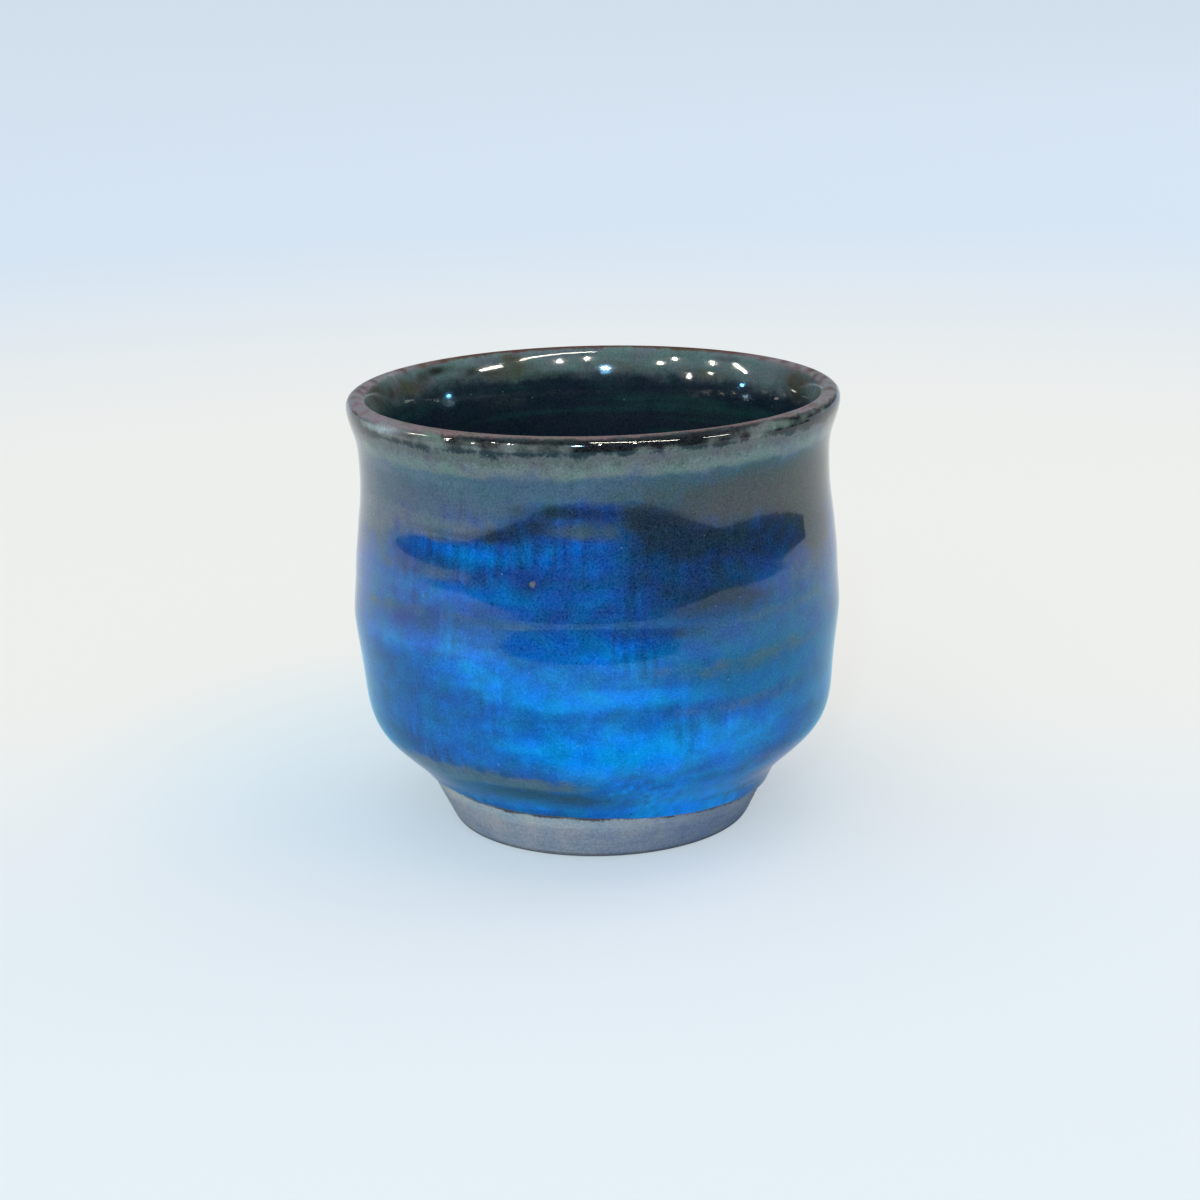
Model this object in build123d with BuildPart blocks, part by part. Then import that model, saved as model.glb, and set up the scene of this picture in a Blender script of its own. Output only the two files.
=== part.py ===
"""Guinomi sake cup: a thrown stoneware body under three coats of glaze.

The cup stands on its foot ring at z = 0 and is turned about the Z axis. Every piece is a
half section in the XZ plane, with the radius along X, revolved about Z.

One outline runs from the foot's top up the outside, over the lip and down the inside to the
floor's centre. The clay is drawn inside it as it stands, and the glaze inside the same outline
raised by the glaze's thickness. The glaze less the clay is parted into an outer, a lip and an
inner coat, so each coat lies face to face on the clay and on the next coat.
"""

import os
from math import radians, tan

from build123d import *

# Outside of the finished cup, over the glaze, in millimetres. A drop is measured down from the
# rim's top, and an inset level, in from the rim's widest ring
height = 57.5
rim_diameter = 64.0
neck_drop = 8.1
neck_inset = 1.45
belly_height = 31.0
belly_inset = 0.05
flank_height = 19.0
flank_inset = 0.85
flank_slope = 6.0  # degrees from upright
hip_height = 14.0
hip_inset = 2.0
hip_slope = 31.0  # degrees from upright

# Foot of bare clay, and the recess trimmed out under it
foot_diameter = 40.0
foot_height = 6.2
foot_slope = 24.0  # degrees from upright
foot_edge_round = 0.5
underside_slope = 27.0  # degrees from upright, where the cup leaves the foot
recess_diameter = 30.0
recess_depth = 4.6
recess_slope = 8.0  # degrees from upright
recess_corner_round = 1.6

# Clay wall, measured level, and clay floor
lip_thickness = 1.9
neck_wall = 2.65
belly_wall = 2.85
hip_wall = 5.1
inner_hip_slope = 40.0  # degrees from upright
floor_thickness = 5.4

# Coats of glaze
glaze_thickness = 0.4
glaze_edge_round = 0.3
glaze_gap = 0.4  # bare clay between the foot's top and the outer coat
lip_band = 3.0  # how far the lip's coat reaches down from the rim


def climbing(slope):
    """Direction in the section that climbs outwards, this many degrees from upright."""
    return Vector(0, 1).rotate(Axis.Z, -slope)


# Radii and heights of the clay, worked out from the finished sizes
lip_round = lip_thickness / 2
lip_radius = rim_diameter / 2 - glaze_thickness
lip_height = height - glaze_thickness - lip_round
neck_radius = lip_radius - neck_inset
neck_height = height - neck_drop
belly_radius = lip_radius - belly_inset
flank_radius = lip_radius - flank_inset
hip_radius = lip_radius - hip_inset
foot_radius = foot_diameter / 2
foot_top_radius = foot_radius + foot_height * tan(radians(foot_slope))
recess_radius = recess_diameter / 2
recess_top_radius = recess_radius - recess_depth * tan(radians(recess_slope))
floor_height = recess_depth + floor_thickness
inner_hip_radius = hip_radius - hip_wall
inner_hip_height = hip_height + floor_thickness / 2

# Points of the clay's underside, each a radius and a height
recess_corner = (recess_top_radius, recess_depth)
foot_top = (foot_top_radius, foot_height)

# Stations up the outside and down the inside, each a radius, a height and a heading
outside = [
    (*foot_top, climbing(underside_slope)),
    (hip_radius, hip_height, climbing(hip_slope)),
    (flank_radius, flank_height, climbing(flank_slope)),
    (belly_radius, belly_height, climbing(0)),
    (neck_radius, neck_height, climbing(0)),
    (lip_radius, lip_height, climbing(0)),
]
inside = [
    (lip_radius - lip_thickness, lip_height, -climbing(0)),
    (neck_radius - neck_wall, neck_height, -climbing(0)),
    (belly_radius - belly_wall, belly_height, -climbing(0)),
    (inner_hip_radius, inner_hip_height, -climbing(inner_hip_slope)),
    (0, floor_height, -climbing(90)),
]

# Heights at which the coats part
glaze_line = foot_height + glaze_gap
lip_band_height = height - lip_band
middle_of_floor = recess_depth + floor_thickness / 2
above_rim = height + glaze_thickness


def raised(station, skin):
    """Point of a station moved off the clay by a skin, square to its heading."""
    radius, level, heading = station
    return Vector(radius, level) + heading.rotate(Axis.Z, -90) * skin


def sweep(stations, skin):
    """Smooth curve through the stations, raised by a skin."""
    return Spline(
        *[raised(station, skin) for station in stations],
        tangents=[heading for *_, heading in stations],
    )


def cup_outline(skin):
    """Outside, lip and inside of the cup, raised by a skin. Gives its two ends."""
    outer_curve = sweep(outside, skin)
    inner_curve = sweep(inside, skin)
    crest = Vector(lip_radius - lip_round, lip_height + lip_round + skin)
    ThreePointArc(outer_curve @ 1, crest, inner_curve @ 0)
    return outer_curve @ 0, inner_curve @ 1


# Section of the thrown and trimmed clay
with BuildSketch(Plane.XZ) as clay_section:
    with BuildLine():
        foot_end, floor_end = cup_outline(0)
        Polyline(
            floor_end,
            (0, recess_depth),
            recess_corner,
            (recess_radius, 0),
            (foot_radius, 0),
            foot_end,
        )
    make_face()
    fillet(clay_section.vertices().group_by(Axis.Y)[0], foot_edge_round)
    fillet(clay_section.vertices().sort_by_distance(recess_corner)[0], recess_corner_round)

# Section of all the glaze
with BuildSketch(Plane.XZ) as coat_section:
    with BuildLine():
        foot_end, floor_end = cup_outline(glaze_thickness)
        Polyline(floor_end, (0, middle_of_floor), foot_end)
    make_face()
    add(clay_section.sketch_local, mode=Mode.SUBTRACT)


def coats_between(low, high):
    """Faces of the glaze section between two heights, from the axis outwards."""
    with BuildSketch(Plane.XZ) as level_slice:
        add(coat_section.sketch_local)
        with Locations((0, low)):
            Rectangle(rim_diameter, high - low, align=Align.MIN, mode=Mode.INTERSECT)
    return level_slice.sketch.faces().sort_by(Axis.X)


# Stoneware body: wall, floor and foot ring in one piece of clay
with BuildPart() as clay_body:
    revolve(clay_section.sketch, axis=Axis.Z)
clay_body.part.label = "clay_body"

# Outer coat, from its rolled lower edge above the foot up to the lip's coat
with BuildPart() as outer_glaze:
    revolve(coats_between(glaze_line, lip_band_height)[-1], axis=Axis.Z)
    lower_rings = outer_glaze.edges().filter_by(GeomType.CIRCLE).group_by(Axis.Z)[0]
    fillet(lower_rings.sort_by(SortBy.RADIUS)[-1], glaze_edge_round)
outer_glaze.part.label = "outer_glaze"

# Coat over the lip, from the outside across the crest to the inside
with BuildPart() as lip_glaze:
    revolve(coats_between(lip_band_height, above_rim)[0], axis=Axis.Z)
lip_glaze.part.label = "lip_glaze"

# Inner coat, lining the wall and the floor
with BuildPart() as inner_glaze:
    revolve(coats_between(middle_of_floor, lip_band_height)[0], axis=Axis.Z)
inner_glaze.part.label = "inner_glaze"

os.makedirs("parts", exist_ok=True)
for piece in (clay_body, outer_glaze, lip_glaze, inner_glaze):
    export_step(piece.part, f"parts/{piece.part.label}.step")
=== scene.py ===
from math import cos, pi, radians, sin
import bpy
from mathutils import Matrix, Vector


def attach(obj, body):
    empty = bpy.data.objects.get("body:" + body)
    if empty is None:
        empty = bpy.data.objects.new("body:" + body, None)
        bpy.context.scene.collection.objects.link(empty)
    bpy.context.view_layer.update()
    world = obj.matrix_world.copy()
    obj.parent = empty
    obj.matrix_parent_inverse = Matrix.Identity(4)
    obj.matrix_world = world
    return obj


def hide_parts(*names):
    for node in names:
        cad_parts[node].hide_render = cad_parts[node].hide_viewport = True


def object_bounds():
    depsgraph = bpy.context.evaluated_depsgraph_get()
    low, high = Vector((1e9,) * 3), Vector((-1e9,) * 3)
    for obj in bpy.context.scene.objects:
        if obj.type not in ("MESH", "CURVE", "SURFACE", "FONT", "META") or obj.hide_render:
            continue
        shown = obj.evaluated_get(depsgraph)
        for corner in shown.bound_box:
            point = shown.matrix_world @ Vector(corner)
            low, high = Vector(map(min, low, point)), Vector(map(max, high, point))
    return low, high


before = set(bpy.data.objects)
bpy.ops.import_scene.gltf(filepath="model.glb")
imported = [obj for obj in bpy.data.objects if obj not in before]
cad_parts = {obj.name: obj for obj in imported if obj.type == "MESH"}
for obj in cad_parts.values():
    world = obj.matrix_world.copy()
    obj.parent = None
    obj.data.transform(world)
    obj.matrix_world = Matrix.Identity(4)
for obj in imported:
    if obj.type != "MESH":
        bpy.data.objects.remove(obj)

from types import SimpleNamespace

import bpy
import numpy as np
from bpy.props import FloatProperty, FloatVectorProperty, PointerProperty
from mathutils import Matrix, Vector

bl_info = {
    "name": "Sake cup",
    "version": (1, 0, 0),
    "blender": (4, 5, 0),
    "location": "3D View > Sidebar > Sake cup",
    "description": "A thrown stoneware sake cup under three coats of glaze, and the stage it stands on",
    "category": "Add Mesh",
}

MM = 0.001
CAD_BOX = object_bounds()
CAD_HEIGHT = CAD_BOX[1].z - CAD_BOX[0].z
CAD_RIM = CAD_BOX[1].x - CAD_BOX[0].x

# Finished outline of the cup, over the glaze: radius and height in millimetres, for a cup
# of the drawn rim and height. It runs up the outside, over the lip and down the inside.
DRAWN_RIM = 64.0
DRAWN_HEIGHT = 57.5
OUTSIDE = [
    (22.45, 4.4), (22.83, 5.2), (23.21, 6.05), (24.20, 7.8), (25.80, 9.5), (27.92, 11.5),
    (30.00, 14.1), (30.93, 17.2), (31.21, 20.0), (31.61, 24.0), (32.075, 28.0), (32.13, 29.0),
    (32.098, 30.0), (32.028, 31.0), (31.815, 34.0), (31.765, 35.0), (31.628, 37.0), (31.409, 39.0),
    (31.191, 41.0), (30.929, 43.0), (30.817, 44.0), (30.652, 49.0), (30.776, 51.0), (30.961, 52.0),
    (31.249, 53.0), (31.580, 54.0), (31.849, 55.0),
]
LIP = [
    (32.0, 56.15), (31.87, 56.75), (31.60, 57.1), (31.2, 57.36), (30.65, 57.5), (30.1, 57.38),
    (29.70, 57.13), (29.35, 56.72), (29.05, 56.15),
]
INSIDE = [
    (28.50, 54.8), (28.06, 53.2), (27.68, 51.2), (27.44, 49.2), (27.35, 47.2), (27.45, 44.5),
    (27.80, 40.0), (28.20, 35.0), (28.25, 30.5), (27.95, 26.7), (27.29, 23.45), (26.21, 20.3),
    (24.56, 17.42), (22.27, 15.0), (19.52, 13.15), (16.44, 11.9), (13.2, 11.16), (9.89, 10.74),
    (6.5, 10.52), (3.2, 10.42), (0.0, 10.40), (-3.2, 10.42),
]
OUTLINE_SAMPLES = 6000


def length(name, description, default):
    """A size in metres that a user can change."""
    return FloatProperty(
        name=name, description=description, default=default, min=0.0, unit="LENGTH", precision=5
    )


def angle(name, description, degrees):
    """An angle that a user can change, given in degrees."""
    return FloatProperty(
        name=name, description=description, default=radians(degrees), unit="ROTATION"
    )


def power(name, description, default):
    """A lamp's power in watts that a user can change."""
    return FloatProperty(name=name, description=description, default=default, min=0.0, unit="POWER")


def colour(name, description, default):
    """A linear colour that a user can change."""
    return FloatVectorProperty(
        name=name, description=description, default=default, size=3, min=0.0, max=1.0,
        subtype="COLOR",
    )


class CupSizes(bpy.types.PropertyGroup):
    """Sizes of the cup."""

    height: length("Height", "From the table to the rim", CAD_HEIGHT)
    rim: length("Rim", "Widest diameter of the lip", CAD_RIM)
    foot: length("Foot", "Diameter of the foot ring on the table", 40.0 * MM)
    recess: length("Recess", "Diameter of the recess under the foot", 30.0 * MM)
    recess_depth: length("Recess depth", "Depth of the recess under the foot", 4.6 * MM)
    glaze: length("Glaze", "Thickness of the glaze", 0.4 * MM)
    lip_band: length("Lip band", "How far the lip's coat reaches down", 3.0 * MM)
    edge: length("Glaze edge", "Mean height of the outer coat's lower edge", 5.95 * MM)
    edge_tilt: length("Edge tilt", "How far that edge rises to the left", 1.25 * MM)
    ridge: length("Ridge", "Height of the throwing ridge", 0.069 * MM)
    ridge_pitch: length("Ridge pitch", "Climb of the throwing ridge in one turn", 28.0 * MM)
    ring: length("Ring", "Height of the fine finger ring round the belly", 34.45 * MM)


class CupColours(bpy.types.PropertyGroup):
    """Colours of the clay and the glazes."""

    clay: colour("Clay", "Bare fired clay", (0.43, 0.4, 0.425))
    # Painted shade: this clay colour is drawn on the right to stand in for the shade on that side
    shaded: colour("Shaded clay", "Clay on the right, darker from the fire", (0.21, 0.238, 0.32))
    bloomed: colour("Bloomed clay", "Paler clay below the glaze", (0.5, 0.51, 0.5))
    # This dark clay colour also paints the contact shadow along the foot just above the table
    scorch_and_contact_shade: colour("Scorch", "Clay darkened beside the glaze", (0.11, 0.08, 0.075))
    deep: colour("Deep blue", "Thick blue glaze", (0.012, 0.07, 0.245))
    cobalt: colour("Cobalt", "Middle blue glaze", (0.003, 0.135, 0.455))
    azure: colour("Azure", "Brightest blue glaze", (0.0, 0.26, 0.78))
    teal: colour("Teal", "Greener blue glaze", (0.0, 0.12, 0.285))
    steel: colour("Steel", "Thin blue glaze at the neck", (0.06, 0.108, 0.155))
    ash: colour("Ash", "Pale grey runs", (0.092, 0.135, 0.18))
    olive: colour("Olive", "Thin grey glaze", (0.052, 0.063, 0.062))
    ink: colour("Ink", "Darkest glaze", (0.0145, 0.03, 0.05))
    pale: colour("Pale", "Grey green band below the lip", (0.178, 0.2, 0.178))
    umber: colour("Umber", "Mauve brown mottles above the pale band", (0.085, 0.05, 0.048))
    brown: colour("Brown", "Dark lip", (0.015, 0.0165, 0.0185))
    moss: colour("Moss", "Green blotches on the lip", (0.165, 0.185, 0.165))
    khaki: colour("Khaki", "Olive mottles of the lip", (0.085, 0.083, 0.055))
    celadon: colour("Celadon", "Grey green glaze inside the lip", (0.14, 0.19, 0.187))
    rust: colour("Rust", "Worn crest of the lip", (0.12, 0.052, 0.036))
    worn: colour("Worn clay", "Pinkish crest at the front", (0.225, 0.155, 0.15))
    # Painted highlight: a pale blotch outside the lip on the left that stands in for a soft highlight
    milky: colour("Milky", "Pale thick spot of glaze at the lip", (0.4, 0.47, 0.46))
    # Painted reflection: the pale mauve at the crest's sides stands in for the pale backdrop that it
    # mirrors
    mauve: colour("Mauve", "Matt crest at both sides", (0.27, 0.25, 0.265))
    smoke: colour("Smoke", "Dark olive mottles inside the lip", (0.022, 0.021, 0.014))
    lining: colour("Lining", "Dark glaze inside", (0.011, 0.021, 0.034))
    bloom: colour("Bloom", "Greener glaze inside", (0.014, 0.05, 0.05))


class CupStage(bpy.types.PropertyGroup):
    """Floor, light and camera."""

    near: colour("Near floor", "Floor in front of the cup", (0.83, 0.88, 0.92))
    middle: colour("Middle floor", "Floor beside the cup", (0.89, 0.885, 0.85))
    far: colour("Far floor", "Floor far from the cup", (0.71, 0.815, 0.93))
    mirrored: colour("Mirrored floor", "Floor in front as the glaze mirrors it", (0.36, 0.8, 0.97))
    cast: colour("Cast", "Blue light that the glaze throws on the floor in front", (0.04, 0.7, 1.0))
    sky: colour("Background", "Background above the floor", (0.644, 0.745, 0.855))
    light: colour("Light", "Soft light from above", (0.95, 0.96, 0.97))
    window: power("Window", "Broad cool light in front", 4.0)
    front: power("Front lamp", "Small cool lamp behind the camera", 9.0)
    fill: power("Fill lamp", "Soft lamp behind on the right", 2.6)
    lens: FloatProperty(name="Lens", description="Focal length", default=70.32, unit="CAMERA")
    distance: length("Distance", "Camera in front of the cup's axis", 300.0 * MM)
    level: length("Camera height", "Camera above the table", 115.4 * MM)
    pitch: angle("Pitch", "How far the camera looks down", 16.127)
    yaw: angle("Yaw", "How far the camera looks to the right", 0.066)
    roll: angle("Roll", "How far the camera leans to the right", 1.24)


def spline(points, count):
    """Natural cubic spline through points over their chord length, sampled evenly count times.

    Its second derivatives solve the usual three-banded system, with none at the two ends.
    """
    points = np.asarray(points, float)
    knots = np.concatenate(([0.0], np.cumsum(np.linalg.norm(np.diff(points, axis=0), axis=1))))
    step = np.diff(knots)
    chord = np.diff(points, axis=0) / step[:, None]
    system = np.eye(len(knots))
    middle = np.arange(1, len(knots) - 1)
    system[middle, middle - 1] = step[:-1]
    system[middle, middle] = 2.0 * (step[:-1] + step[1:])
    system[middle, middle + 1] = step[1:]
    bend = np.zeros_like(points)
    bend[1:-1] = 6.0 * np.diff(chord, axis=0)
    bend = np.linalg.solve(system, bend)
    at = np.linspace(0.0, knots[-1], count)
    left = np.clip(np.searchsorted(knots, at, side="right") - 1, 0, len(step) - 1)
    before, after, width = at - knots[left], knots[left + 1] - at, step[left]
    share = np.stack((after, before), -1) / width[:, None]
    cubic = (share ** 3 - share) * (width ** 2)[:, None] / 6.0
    return (
        share[:, :1] * points[left] + share[:, 1:] * points[left + 1]
        + cubic[:, :1] * bend[left] + cubic[:, 1:] * bend[left + 1]
    )


def cup_outline(sizes):
    """Finished outline as arrays over its own length, in metres.

    along is the length from the lowest station, radius and height the place, and out_r and
    out_z the unit normal towards the open side. crest, outer_band, inner_band and end are the
    lengths at the lip's top, at the two edges of its coat and at the floor's middle.
    """
    drawn = np.array(OUTSIDE + LIP + INSIDE)
    scale = np.array([sizes.rim / DRAWN_RIM, sizes.height / DRAWN_HEIGHT])
    place = spline(drawn * scale, OUTLINE_SAMPLES)
    place = place[place[:, 0] >= 0.0]
    place[-1, 0] = 0.0
    radius, height = place.T
    along = np.concatenate(([0.0], np.cumsum(np.hypot(np.diff(radius), np.diff(height)))))
    heading = np.stack((np.gradient(radius, along), np.gradient(height, along)), -1)
    heading /= np.linalg.norm(heading, axis=1, keepdims=True)
    crest = int(np.argmax(height))
    band = sizes.height - sizes.lip_band
    return SimpleNamespace(
        along=along, radius=radius, height=height, out_r=heading[:, 1], out_z=-heading[:, 0],
        crest=along[crest], end=along[-1],
        outer_band=np.interp(band, height[:crest], along[:crest]),
        inner_band=np.interp(-band, -height[crest:], along[crest:]),
        climb=(height[:crest], along[:crest]),
    )


def smoothstep(low, high, x):
    """0 at low, 1 at high, with a smooth cubic between and level beyond."""
    t = np.clip((x - low) / (high - low), 0.0, 1.0)
    return t * t * (3.0 - 2.0 * t)


def azimuths(count):
    """Evenly spaced angles once round, 0 at the front and positive to the right."""
    return (np.arange(count) / count - 0.5) * 2.0 * pi


# Throwing ridge: where its spiral starts, in radians, and between which shares of the height it
# comes in above the foot and dies out below the lip
RIDGE_START = 4.40
RIDGE_IN, RIDGE_OUT = (0.1, 0.3), (0.98, 0.86)
# Finger ring: how far the wall leans out at its middle, as a slope, and its half height
RING_SLOPE = 0.03
RING_HALF = 0.6 * MM


def throwing_marks(sizes, phi, height):
    """Height of the throwing marks over the turned surface.

    One ridge climbs in a spiral: a cosine of the height over the pitch plus the azimuth. It dies
    out towards the foot and the lip. A fine finger ring crosses the belly: the distance from its
    middle times a bell curve, so the wall leans out a little there and back on both sides.
    """
    turn = 2.0 * pi * height / sizes.ridge_pitch + phi - RIDGE_START
    share = height / sizes.height
    fade = smoothstep(*RIDGE_IN, share) * smoothstep(*RIDGE_OUT, share)
    off = height - sizes.ring
    ring = RING_SLOPE * off * np.exp(-((off / RING_HALF) ** 2))
    return fade * (sizes.ridge * np.cos(turn) + ring)


def lay(sizes, outline, phi, along, thickness):
    """Points at lengths along the outline, lifted off the clay by a thickness.

    The clay lies one glaze thickness inside the finished outline, along its normal, and the
    throwing marks move the radius. Gives radius and height.
    """
    lift = thickness - sizes.glaze
    out_r = np.interp(along, outline.along, outline.out_r)
    height = np.interp(along, outline.along, outline.height)
    height = height + lift * np.interp(along, outline.along, outline.out_z)
    radius = np.interp(along, outline.along, outline.radius) + lift * out_r
    radius = radius + out_r * throwing_marks(sizes, phi, height)
    return np.maximum(radius, 0.0), height + 0.0 * phi


# An edge that bends by more than this stays sharp
SHARP_BEND = radians(50.0)


def turned(name, phi, radius, height, marks, capped):
    """Mesh of a section turned about Z, as one object at the origin.

    A point of row j and column i lies at radius times sin and minus cos of the azimuth.
    Each row closes round the axis. Where capped, the first and last rows are points on the
    axis, and otherwise the last row joins the first. marks are values to keep at each point.
    """
    rows, columns = radius.shape
    grid = np.stack((radius * np.sin(phi), -radius * np.cos(phi), height), -1)
    ring = np.arange(columns)
    after = np.roll(ring, -1)
    lower = np.arange(rows - 1) if not capped else np.arange(1, rows - 2)
    lower = lower[:, None] * columns
    upper = lower + columns
    quads = np.stack((lower + ring, lower + after, upper + after, upper + ring), -1).reshape(-1, 4)
    last = (rows - 1) * columns
    if capped:
        bottom = np.stack((np.zeros_like(ring), columns + after, columns + ring), -1)
        below = last - columns
        top = np.stack((below + ring, below + after, np.full_like(ring, last)), -1)
        keep = np.concatenate(([0], np.arange(columns, last), [last]))
        renumber = np.zeros(rows * columns, int)
        renumber[keep] = np.arange(len(keep))
        faces = renumber[quads].tolist() + renumber[np.concatenate((bottom, top))].tolist()
    else:
        keep = np.arange(rows * columns)
        closing = np.stack((last + ring, last + after, after, ring), -1)
        faces = quads.tolist() + closing.tolist()
    mesh = bpy.data.meshes.new(name)
    mesh.from_pydata(grid.reshape(-1, 3)[keep], [], faces)
    for mark, values in marks.items():
        layer = mesh.attributes.new(mark, "FLOAT", "POINT")
        layer.data.foreach_set("value", np.ascontiguousarray(values.reshape(-1)[keep], np.float32))
    mesh.polygons.foreach_set("use_smooth", np.ones(len(mesh.polygons), bool))
    mesh.set_sharp_from_angle(angle=SHARP_BEND)
    mesh.validate()
    piece = bpy.data.objects.new(name, mesh)
    bpy.context.scene.collection.objects.link(piece)
    return piece


# Runs of glaze over the blue ground, by the tint they bring: azimuth in degrees, height in
# millimetres, half length in degrees, half height in millimetres, and strength
RUNS = {
    "azure": [
        (-4, 22.0, 40, 9.0, 0.30), (7, 18.0, 26, 3.6, 0.9), (-20, 18.6, 20, 3.2, 0.2),
        (30, 18.4, 18, 3.4, 0.42), (2, 25.1, 14, 1.5, 0.75), (-22, 25.6, 20, 2.6, 0.38),
        (18, 25.2, 12, 1.3, 0.3), (-30, 30.0, 10, 2.4, 0.5), (-6, 28.6, 28, 3.0, 0.42),
        (-58, 29.8, 12, 2.0, 0.4), (-43, 30.4, 12, 1.6, 0.3), (-64, 37.0, 10, 6.0, 0.4),
        (0, 31.5, 22, 1.2, 0.3), (-38, 36.8, 18, 2.4, 0.22), (-28, 42.3, 16, 1.3, 0.35),
        (-4, 42.6, 12, 1.8, 0.14), (0, 37.8, 10, 1.4, 0.12), (26, 8.4, 20, 2.6, 0.85),
        (31, 6.7, 20, 1.8, 0.9), (20, 12.0, 24, 2.6, 0.4), (-28, 7.9, 20, 1.2, 0.5),
        (-4, 7.8, 12, 1.2, 0.3), (44, 19.5, 16, 3.0, 0.25), (34, 25.4, 24, 1.3, 0.35),
        (40, 30.6, 18, 0.9, 0.3), (150, 19.0, 30, 4.0, 0.7), (-140, 26.0, 24, 3.0, 0.6),
        (178, 30.0, 20, 2.0, 0.5), (-110, 16.0, 20, 3.0, 0.5), (105, 22.0, 22, 2.6, 0.5),
        (120, 9.0, 26, 2.4, 0.5), (-160, 9.5, 20, 2.0, 0.4), (-100, 38.0, 20, 2.0, 0.4),
        (140, 38.0, 24, 2.0, 0.4), (170, 24.0, 60, 8.0, 0.3), (-110, 24.0, 50, 8.0, 0.25),
    ],
    "teal": [
        (36, 30.0, 22, 5.0, 0.85), (34, 25.2, 16, 1.5, 0.4), (58, 29.0, 16, 10.0, 0.6),
        (-61, 36.5, 11, 7.0, 0.5), (95, 33.0, 30, 4.0, 0.6), (-120, 34.0, 40, 4.0, 0.5),
        (165, 35.0, 34, 3.5, 0.6),
    ],
    "steel": [
        (0, 52.2, 400, 3.4, 0.85), (-40, 49.2, 29, 3.8, 0.97), (-4, 51.2, 20, 1.6, 0.6),
        (-66, 46.0, 18, 6.0, 0.7), (-2, 45.9, 11, 1.0, 0.75), (-42, 39.2, 16, 1.1, 0.5),
        (-52, 33.8, 18, 0.9, 0.45), (-24, 34.3, 14, 0.7, 0.35), (22, 51.4, 14, 1.2, 0.4),
        (36, 28.4, 26, 1.3, 0.55), (44, 33.6, 22, 1.0, 0.4), (38, 23.0, 26, 1.0, 0.35),
        (60, 38.5, 13, 3.5, 0.55), (-140, 48.0, 50, 4.0, 0.9), (170, 46.0, 40, 2.5, 0.8),
        (-100, 14.0, 24, 1.2, 0.6), (100, 44.0, 20, 2.0, 0.5),
    ],
    "ash": [
        (-46, 45.4, 24, 1.3, 0.95), (-39, 43.9, 10, 0.7, 0.6), (-64, 44.4, 16, 1.8, 0.8),
        (-30, 13.1, 20, 1.2, 1.0), (-12, 12.8, 10, 1.2, 0.5), (-50, 12.6, 14, 1.7, 0.85),
        (42, 46.8, 22, 1.2, 0.5), (-54, 51.4, 24, 1.1, 0.8), (60, 50.5, 16, 3.0, 0.5),
        (140, 12.6, 30, 1.2, 0.6), (-130, 44.0, 30, 1.2, 0.7), (120, 47.0, 40, 1.6, 0.6),
        (-165, 51.0, 40, 1.4, 0.6),
    ],
    "olive": [
        (36, 48.8, 30, 4.0, 0.97), (60, 47.0, 20, 5.0, 0.9), (62, 43.0, 12, 5.0, 0.6),
        (10, 46.8, 9, 1.6, 0.4), (110, 49.0, 40, 3.6, 0.9), (150, 28.0, 24, 1.0, 0.6),
        (-130, 31.0, 24, 0.9, 0.5), (-165, 47.5, 30, 1.4, 0.5),
    ],
    "ink": [
        (20, 44.6, 11, 2.6, 0.85), (38, 43.6, 20, 2.8, 0.8), (27, 40.2, 16, 3.0, 0.5),
        (14, 47.2, 8, 2.2, 0.8), (48, 40.8, 12, 2.4, 0.5), (25, 37.0, 12, 1.6, 0.6),
        (24, 38.8, 10, 1.8, 0.3), (-22, 45.0, 7, 1.0, 0.75), (-15, 46.2, 6, 1.8, 0.75),
        (-36, 44.4, 12, 0.5, 0.5), (-4, 48.2, 14, 1.0, 0.8), (34, 35.6, 20, 1.7, 0.5),
        (-22, 10.7, 20, 1.2, 0.7), (-7, 10.6, 9, 1.6, 0.6), (-46, 10.0, 14, 1.3, 0.45),
        (10, 41.0, 8, 6.0, 0.35), (18, 33.4, 10, 0.9, 0.5), (-15, 39.4, 2.6, 1.2, 0.6),
        (130, 41.0, 34, 3.0, 0.8), (-150, 42.0, 30, 2.6, 0.7), (-90, 40.0, 20, 2.0, 0.4),
        (100, 12.0, 26, 1.6, 0.5),
    ],
}
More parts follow.
